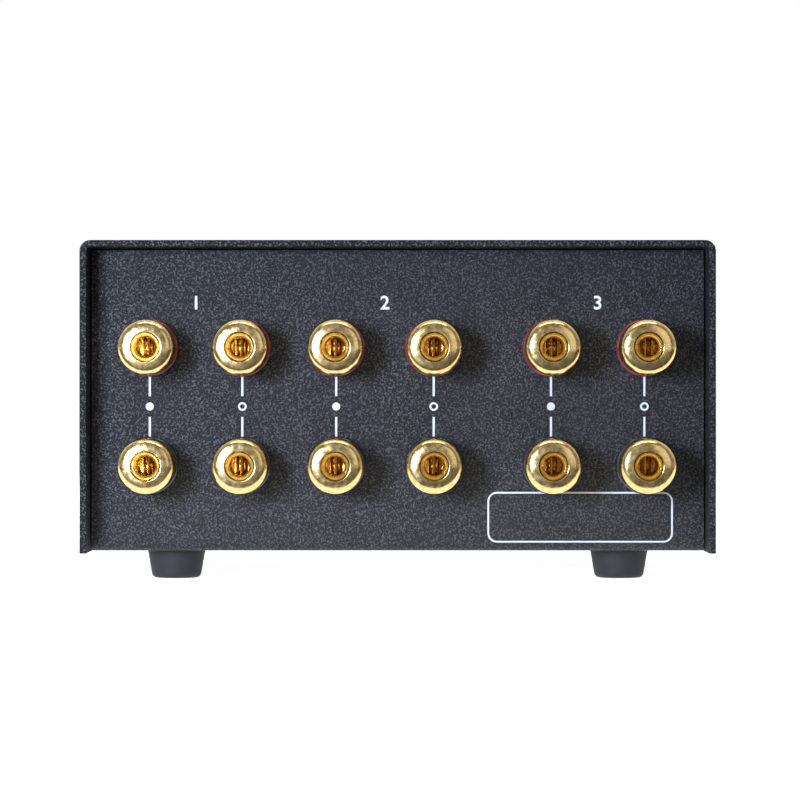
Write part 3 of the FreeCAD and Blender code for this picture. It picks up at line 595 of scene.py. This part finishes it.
rubber = moulded("black_rubber", (0.012, 0.012, 0.014), (0.024, 0.025, 0.028), 0.66, 0.0003, 0.00003)
hole_radius, recess_radius, recess_height = 1.65 * MM, 3.3 * MM, 3.2 * MM
foot_taper = 1.15 * MM
for name in sorted(name for name in nodes if name.startswith(("foot_front", "foot_rear"))):
    low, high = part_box(name)
    top = (high.x - low.x) / 2
    height = high.z - low.z
    corners = [
        (hole_radius, recess_height, 0.0),
        (recess_radius, recess_height, 0.3 * MM),
        (recess_radius, 0.0, 0.3 * MM),
        (top - foot_taper, 0.0, 1.1 * MM),
        (top, height, 0.25 * MM),
        (hole_radius, height, 0.0),
    ]
    centre = ((low.x + high.x) / 2, (low.y + high.y) / 2, low.z)
    fit(plain_turned(f"rubber_{name}", corners, centre, "z", 96), "case", rubber, "rubber", name)


# Binding post studs. Turned brass, gold plated, with a socket for a 4 mm plug in the outer end and a hole
# across its floor for a bare wire. Each goes through the panel and is held by a nut inside.

turning, ends_in, ends_out = effect_group("turning_marks", {"Per Millimetre": 9.0}, ("Height", "Smear"))
strip = add_node(turning, "ShaderNodeUVMap", uv_map="surface")
split = add_node(turning, "ShaderNodeSeparateXYZ")
rings = add_node(turning, "ShaderNodeTexNoise", {"Detail": 2.0, "Roughness": 0.6}, noise_dimensions="1D")
position = add_node(turning, "ShaderNodeTexCoord")
smear = add_node(turning, "ShaderNodeTexNoise", {"Scale": 900.0, "Detail": 4.0, "Roughness": 0.65})
turning.links.new(strip.outputs[0], split.inputs[0])
turning.links.new(split.outputs["Y"], rings.inputs["W"])
turning.links.new(ends_in.outputs["Per Millimetre"], rings.inputs["Scale"])
turning.links.new(position.outputs["Object"], smear.inputs["Vector"])
smear_weight = 2.0
dents = add_node(turning, "ShaderNodeMath", {1: smear_weight}, operation="MULTIPLY_ADD")
turning.links.new(smear.outputs["Fac"], dents.inputs[0])
turning.links.new(rings.outputs["Fac"], dents.inputs[2])
turning.links.new(dents.outputs[0], ends_out.inputs["Height"])
turning.links.new(smear.outputs["Fac"], ends_out.inputs["Smear"])


def gold_plate(name, dark, light, smooth, rough):
    """Gold plate over turned brass: fine rings along the profile, faint handling marks."""
    made, tree, shader = new_material(name, light, smooth, metallic=1.0)
    used = place_group(tree, turning, per_millimetre=9.0)
    vary(tree, shader, used.outputs["Smear"], (dark, light), (smooth, rough), sheen_from=(0.35, 0.7))
    raise_surface(tree, shader, used.outputs["Height"], 0.000004, 0.5)
    return made


gold = gold_plate("gold_plate", (0.56, 0.40, 0.16), (0.94, 0.70, 0.32), 0.13, 0.26)
# The studs take a deeper, more saturated gold than the caps: a painted reflection of light bounced between
# the gold surfaces at the caps' mouths.
stud_gold_painted_bounce = gold_plate("stud_gold_painted_bounce", (0.70, 0.40, 0.07), (0.95, 0.62, 0.14), 0.17, 0.25)
# Darker gold for the painted shade inside the sockets.
bore_painted_shade = gold_plate("bore_painted_shade", (0.40, 0.22, 0.06), (0.72, 0.46, 0.14), 0.12, 0.26)
studs = merged_copy("post_studs", "gold_studs", 0.06 * MM)
fit(studs, "case", stud_gold_painted_bounce, "gold", "post_studs")
post_middles = [middle_of(f"cap_{column}_{row}") for column, row in posts]
post_axes = np.array([(middle.x, middle.z) for middle in post_middles])


def ease_mouths(mesh, tip, reach, wide, deep):
    """Countersink at the mouth of every socket of a mesh: a cut goes round the wall at a depth below the tip,
    and the vertices at the tip that lie within reach of a post's axis move out to the wide radius."""
    work = bmesh.new()
    work.from_mesh(mesh)
    every = work.verts[:] + work.edges[:] + work.faces[:]
    bmesh.ops.bisect_plane(work, geom=every, dist=1e-7, plane_co=(0, tip - deep, 0), plane_no=(0, 1, 0))
    for corner in work.verts:
        offsets = np.array([corner.co.x, corner.co.z]) - post_axes
        away = np.hypot(offsets[:, 0], offsets[:, 1])
        nearest = away.argmin()
        if abs(corner.co.y - tip) < 0.001 * MM and away[nearest] < reach:
            out = post_axes[nearest] + offsets[nearest] / away[nearest] * wide
            corner.co.x, corner.co.z = out
    work.to_mesh(mesh)
    work.free()


stud_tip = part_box("post_studs")[1].y
mouth_reach, mouth_radius, mouth_depth = 2.5 * MM, 2.62 * MM, 0.5 * MM
ease_mouths(studs.data, stud_tip, mouth_reach, mouth_radius, mouth_depth)

# Inside the sockets the faces within a bore's reach take the darker gold: painted shade down in the socket
studs.data.materials.append(bore_painted_shade)
bore_reach = 2.4 * MM
for face in studs.data.polygons:
    away = np.hypot(post_axes[:, 0] - face.center.x, post_axes[:, 1] - face.center.z).min()
    if away < bore_reach and face.center.y < stud_tip - mouth_depth:
        face.material_index = 1


# Post backing. Behind the panel each stud has a square of pressed fibre, stamped from sheet, and a plain
# brass nut that clamps post and square to the steel.


def finish_node(name, material):
    """Give a CAD node that stays its material."""
    nodes[name].data.materials.clear()
    nodes[name].data.materials.append(material)


fibre = moulded("pressed_fibre", (0.09, 0.035, 0.02), (0.15, 0.065, 0.04), 0.7, 0.0004, 0.00005)
finish_node("post_insulators", fibre)


def plated(name, dark, light, smooth, rough):
    """Plated or plain metal of small hidden parts: a drifting colour and sheen."""
    made, tree, shader = new_material(name, light, smooth, metallic=1.0)
    used = place_group(tree, moulding, size=0.0003)
    vary(tree, shader, used.outputs["Mottle"], (dark, light), (smooth, rough))
    raise_surface(tree, shader, used.outputs["Height"], 0.000008, 0.5)
    return made


brass = plated("plain_brass", (0.62, 0.42, 0.16), (0.80, 0.58, 0.26), 0.22, 0.4)
zinc = plated("bright_zinc", (0.48, 0.49, 0.52), (0.66, 0.67, 0.70), 0.25, 0.42)
black_steel = plated("black_oxide", (0.020, 0.020, 0.021), (0.045, 0.045, 0.047), 0.35, 0.5)
steel = plated("ground_steel", (0.45, 0.45, 0.46), (0.60, 0.60, 0.61), 0.2, 0.36)
finish_node("post_nuts", brass)


# Post bushings. Glossy moulded plastic, red in the upper row and black in the lower. Each flange keeps its
# post off the panel, and a spigot centres it in the hole.

red_tones = (0.17, 0.017, 0.02), (0.25, 0.03, 0.034)
black_tones = (0.012, 0.012, 0.014), (0.026, 0.026, 0.03)
red_plastic = moulded("red_plastic", *red_tones, 0.22, 0.0005, 0.00001, coat=0.8)
black_plastic = moulded("black_plastic", *black_tones, 0.2, 0.0005, 0.00001, coat=0.8)
row_finish = {"pos": (red_plastic, "red_plastic"), "neg": (black_plastic, "black_plastic")}
for row, node in (("pos", "post_bushings_red"), ("neg", "post_bushings_black")):
    flanges = merged_copy(node, f"flanges_{row}", 0.3 * MM)
    fit(flanges, "case", *row_finish[row], node)


# Clamp rings. Moulded in the plastic of the bushings, with a finely ribbed rim. Each slides on its stud
# without turning, pushed by the cap.


def fluted(profile, share, count, depth, steps):
    """Radius and reach of a turned grid with flutes all round, each drawn in a number of steps.
    At the angle a the radius falls by share * depth * (1 - cos(count * a)) / 2, where the share of each
    point of the profile runs from 0 to 1."""
    angle = 2 * math.pi * np.arange(count * steps) / (count * steps)
    radius = profile[:, :1] - share[:, None] * depth * (0.5 - 0.5 * np.cos(count * angle))
    return radius, profile[:, 1:] * np.ones((1, len(angle)))


stud_hole = 3.06 * MM
rib_count, rib_depth, rib_margin = 60, 0.16 * MM, 0.2 * MM
for column, row in posts:
    node = f"ring_{column}_{row}"
    low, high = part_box(node)
    outer, depth = (high.x - low.x) / 2, high.y - low.y
    corners = [
        (stud_hole, 0.0, 0.05 * MM),
        (outer, 0.0, 0.3 * MM),
        (outer, depth, 0.3 * MM),
        (stud_hole, depth, 0.05 * MM),
    ]
    profile = rounded(corners)
    rim = np.clip((profile[:, 0] - outer + rib_margin) / rib_margin, 0, 1)
    radius, reach = fluted(profile, rim, rib_count, rib_depth, 4)
    centre = ((low.x + high.x) / 2, low.y, (low.z + high.z) / 2)
    ring = turned(f"clamp_{column}_{row}", radius, reach, centre, "y")
    fit(ring, node, *row_finish[row], node)


# Caps. Turned brass under gold plate, threaded on the studs: a domed face with an eased rim, and shallow
# flutes along the side to grip.

mouth_lip = 3.35 * MM
face_slope, rim_slope, side_slope = np.radians((3.0, 12.0, 56.0))
rim_round, edge_round = 1.9 * MM, 0.2 * MM


def cap_profile(outer, depth):
    """Closed profile of a cap, from the back along the side, over the face and into its mouth.
    Across the face, from 0 to its width w, the drop is s tan(face) + s^2 (tan(rim) - tan(face)) / (2 w),
    so its slope grows evenly. Two arcs follow, which go on from one slope to the next."""
    full = outer - edge_round * (1 - math.sin(side_slope))
    width = full - mouth_lip - rim_round * (math.sin(side_slope) - math.sin(rim_slope))
    s = np.linspace(0, width, 12)
    drop = math.tan(face_slope) * s + (math.tan(rim_slope) - math.tan(face_slope)) * s**2 / (2 * width)
    slope = np.linspace(rim_slope, side_slope, 12)[1:]
    edge = np.linspace(side_slope, math.pi / 2, 5)[1:]
    on_rim = full - rim_round * (math.sin(side_slope) - np.sin(slope))
    on_edge = outer - edge_round * (1 - np.sin(edge))
    drop = np.append(drop, drop[-1] + rim_round * (math.cos(rim_slope) - np.cos(slope)))
    drop = np.append(drop, drop[-1] + edge_round * (math.cos(side_slope) - np.cos(edge)))
    crown = np.stack([np.concatenate([mouth_lip + s, on_rim, on_edge]), depth - drop], axis=1)
    back = rounded([
        (stud_hole, 0.0, 0.05 * MM),
        (outer - 0.3 * MM, 0.0, 0.2 * MM),
        (outer, 0.6 * MM, 0.2 * MM),
        (outer, 1.2 * MM, 0.0),
    ])
    side = np.stack([np.full(6, outer), np.linspace(1.6 * MM, depth - drop[-1] - 0.2 * MM, 6)], axis=1)
    mouth = np.array([
        (mouth_lip - 0.05 * MM, depth - 0.02 * MM),
        (stud_hole + 0.18 * MM, depth - 0.14 * MM),
        (stud_hole + 0.18 * MM, depth - 1.1 * MM),
        (stud_hole, depth - 1.3 * MM),
    ])
    return np.concatenate([back, side, crown[::-1], mouth])


flute_count, flute_depth = 36, 0.28 * MM
flute_start, flute_stop, flute_fade = 1.2 * MM, 3.0 * MM, 0.8 * MM
for column, row in posts:
    node = f"cap_{column}_{row}"
    low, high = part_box(node)
    outer, depth = (high.x - low.x) / 2, high.y - low.y
    profile = cap_profile(outer, depth)
    along = profile[:, 1]
    rise = np.clip((along - flute_start) / flute_fade, 0, 1)
    fall = np.clip((depth - flute_stop - along) / flute_fade, 0, 1)
    on_side = profile[:, 0] > outer - 0.01 * MM
    radius, reach = fluted(profile, rise * fall * on_side, flute_count, flute_depth, 6)
    centre = ((low.x + high.x) / 2, low.y, (low.z + high.z) / 2)
    cap = turned(f"gold_{column}_{row}", radius, reach, centre, "y")
    fit(cap, node, gold, "gold", node)


# Screws and nuts. The cover's black countersunk screws and the feet's screws have cross recesses; those of
# the fascia and the foot nuts sit inside the case.


def four_boxes(node):
    """Lowest and highest corners of a node's four solids, one in each quarter of the plan."""
    points = np.array([vertex.co for vertex in nodes[node].data.vertices])
    middle = (points.min(axis=0) + points.max(axis=0)) / 2
    boxes = []
    for side in (-1, 1):
        for end in (-1, 1):
            beside, behind = (points[:, 0] - middle[0]) * side > 0, (points[:, 1] - middle[1]) * end > 0
            own = points[beside & behind]
            boxes.append((own.min(axis=0), own.max(axis=0)))
    return boxes


def cross_screw(name, low, high, axis, sign, profile, top_round):
    """Turned screw with a cross recess in its head.
    The profile runs from the tip to the edge of the head. Across the head the height falls by
    top_round * (r / R)^2 towards the edge, and inside the cross, where the smaller of |x| and |y| lies
    under half the slot's width and the larger under the arm's length, by the depth of the recess."""
    sides, steps = 96, 36
    length = abs(high - low)["xyz".index(axis)]
    profile = np.array(profile)
    head = profile[-1, 0]
    out = head * np.linspace(1, 0, steps)[1:]
    angle = 2 * math.pi * np.arange(sides) / sides
    x, y = np.abs(out[:, None] * np.sin(angle)), np.abs(out[:, None] * np.cos(angle))
    ease, half_slot, arm, depth = 0.12 * MM, 0.42 * MM, 0.6 * head, 1.0 * MM
    in_slot = np.clip((half_slot - np.minimum(x, y)) / ease, 0, 1)
    in_arm = np.clip((arm - np.maximum(x, y)) / ease, 0, 1)
    top = length - top_round * (out[:, None] / head) ** 2 - depth * (in_slot * in_arm)
    ones = np.ones((1, sides))
    radius = np.concatenate([profile[:, :1] * ones, out[:, None] * ones])
    reach = np.concatenate([profile[:, 1:] * ones, top])
    centre = (low + high) / 2
    centre["xyz".index(axis)] = (low if sign > 0 else high)["xyz".index(axis)]
    return turned(name, radius, sign * reach, centre, axis, closed=False)


def joined(name, pieces):
    """One object of several meshes."""
    work = bmesh.new()
    for piece in pieces:
        work.from_mesh(piece.data)
        bpy.data.objects.remove(piece)
    mesh = bpy.data.meshes.new(name)
    work.to_mesh(mesh)
    work.free()
    mesh.shade_smooth()
    mesh.set_sharp_from_angle(angle=math.radians(30))
    made = bpy.data.objects.new(name, mesh)
    bpy.context.scene.collection.objects.link(made)
    return made


shank = 1.5 * MM
tip = [(0, 0), (shank - 0.3 * MM, 0), (shank, 0.3 * MM)]
heads = []
head_rim = 0.1 * MM
for index, (low, high) in enumerate(four_boxes("cover_screws")):
    head, length = (high[1] - low[1]) / 2, high[0] - low[0]
    profile = tip + [
        (shank, length - (head - shank) - head_rim),
        (head, length - head_rim),
        (head, length),
    ]
    heads.append(cross_screw(f"cover_head_{index}", low, high, "x", 1 if low[0] > 0 else -1, profile, 0))
fit(joined("countersunk_screws", heads), "case", black_steel, "black_steel", "cover_screws")

heads = []
head_height, head_round = 1.8 * MM, 0.7 * MM
for index, (low, high) in enumerate(four_boxes("foot_screws")):
    head, length = (high[1] - low[1]) / 2, high[2] - low[2]
    profile = tip + [
        (shank, length - head_height),
        (head, length - head_height),
        (head, length - head_round),
    ]
    heads.append(cross_screw(f"foot_head_{index}", low, high, "z", -1, profile, head_round))
fit(joined("round_screws", heads), "case", zinc, "zinc", "foot_screws")
finish_node("fascia_screws", zinc)
finish_node("foot_nuts", zinc)


# Rotary switch. A threaded brass bushing held by a nut and washer carries a zinc plate, two rods with
# spacers and two laminate wafers with brass contacts; nylon rotors turn in them on a steel shaft.

laminate = moulded("phenolic_laminate", (0.28, 0.15, 0.07), (0.40, 0.24, 0.12), 0.5, 0.0003, 0.00002)
nylon = moulded("white_nylon", (0.66, 0.65, 0.60), (0.78, 0.77, 0.73), 0.4, 0.0004, 0.00001)
switch_finish = {
    "switch_bushing": brass, "switch_frame": zinc, "switch_lock_washer": zinc, "switch_nut": zinc,
    "switch_wafer_front": laminate, "switch_wafer_rear": laminate, "switch_rods": zinc,
    "switch_spacers": zinc, "switch_contacts": brass, "switch_rotor_front": nylon,
    "switch_rotor_rear": nylon, "switch_shaft": steel,
}
for name, material in switch_finish.items():
    finish_node(name, material)


# Leads. Stranded copper wire in soft coloured insulation, one from the tail of each stud to its contact on
# a wafer, soldered at both ends.

red_insulation = moulded("red_insulation", (0.36, 0.012, 0.012), (0.50, 0.03, 0.03), 0.45, 0.0004, 0.00001)
black_tones = (0.012, 0.012, 0.013), (0.026, 0.026, 0.028)
black_insulation = moulded("black_insulation", *black_tones, 0.45, 0.0004, 0.00001)
finish_node("wires_red", red_insulation)
finish_node("wires_black", black_insulation)


# Knob. Turned aluminium anodised black, with a pointer groove in its face filled with white, and a set
# screw that holds it on the flat of the shaft.

face_turning, ends_in, ends_out = effect_group("face_turning", {"Per Millimetre": 6.0}, ("Ring",))
position = add_node(face_turning, "ShaderNodeTexCoord")
to_axis = add_node(face_turning, "ShaderNodeMapping")
to_axis.inputs["Location"].default_value = (-knob_axis.x, 0, -knob_axis.z)
flat = add_node(face_turning, "ShaderNodeVectorMath", {1: (1.0, 0.0, 1.0)}, operation="MULTIPLY")
reach = add_node(face_turning, "ShaderNodeVectorMath", operation="LENGTH")
in_mm = add_node(face_turning, "ShaderNodeMath", {1: 1.0 / MM}, operation="MULTIPLY")
rings = add_node(face_turning, "ShaderNodeTexNoise", {"Detail": 3.0, "Roughness": 0.6}, noise_dimensions="1D")
face_turning.links.new(position.outputs["Object"], to_axis.inputs["Vector"])
face_turning.links.new(to_axis.outputs["Vector"], flat.inputs[0])
face_turning.links.new(flat.outputs["Vector"], reach.inputs[0])
face_turning.links.new(reach.outputs["Value"], in_mm.inputs[0])
face_turning.links.new(in_mm.outputs[0], rings.inputs["W"])
face_turning.links.new(ends_in.outputs["Per Millimetre"], rings.inputs["Scale"])
face_turning.links.new(rings.outputs["Fac"], ends_out.inputs["Ring"])

knob_black, tree, shader = new_material("knob_anodised", (0.03, 0.03, 0.032), 0.32, specular=0.5)
line = place_group(tree, face_turning, per_millimetre=5.0).outputs["Ring"]
tones = (0.009, 0.009, 0.010), (0.024, 0.024, 0.026)
vary(tree, shader, line, tones, (0.24, 0.40), tone_from=(0.35, 0.65))
raise_surface(tree, shader, line, 0.000012, 0.6)

knob = merged_copy("knob", "turned_knob", 0.25 * MM)
fit(knob, "knob", knob_black, "knob_metal", "knob")
knob.data.materials.append(ink)
groove_start, groove_half = 3.9 * MM, 0.85 * MM
groove_top, groove_floor = 0.1 * MM, 0.8 * MM
for face in knob.data.polygons:
    dx, dz = face.center.x - knob_axis.x, face.center.z - knob_axis.z
    along = dz * math.cos(stop_angle) - dx * math.sin(stop_angle)
    beside = abs(dx * math.cos(stop_angle) + dz * math.sin(stop_angle))
    inward = face.center.y - knob_low.y
    if along > groove_start and beside < groove_half and groove_top < inward < groove_floor:
        face.material_index = 1
finish_node("knob_setscrew", black_steel)
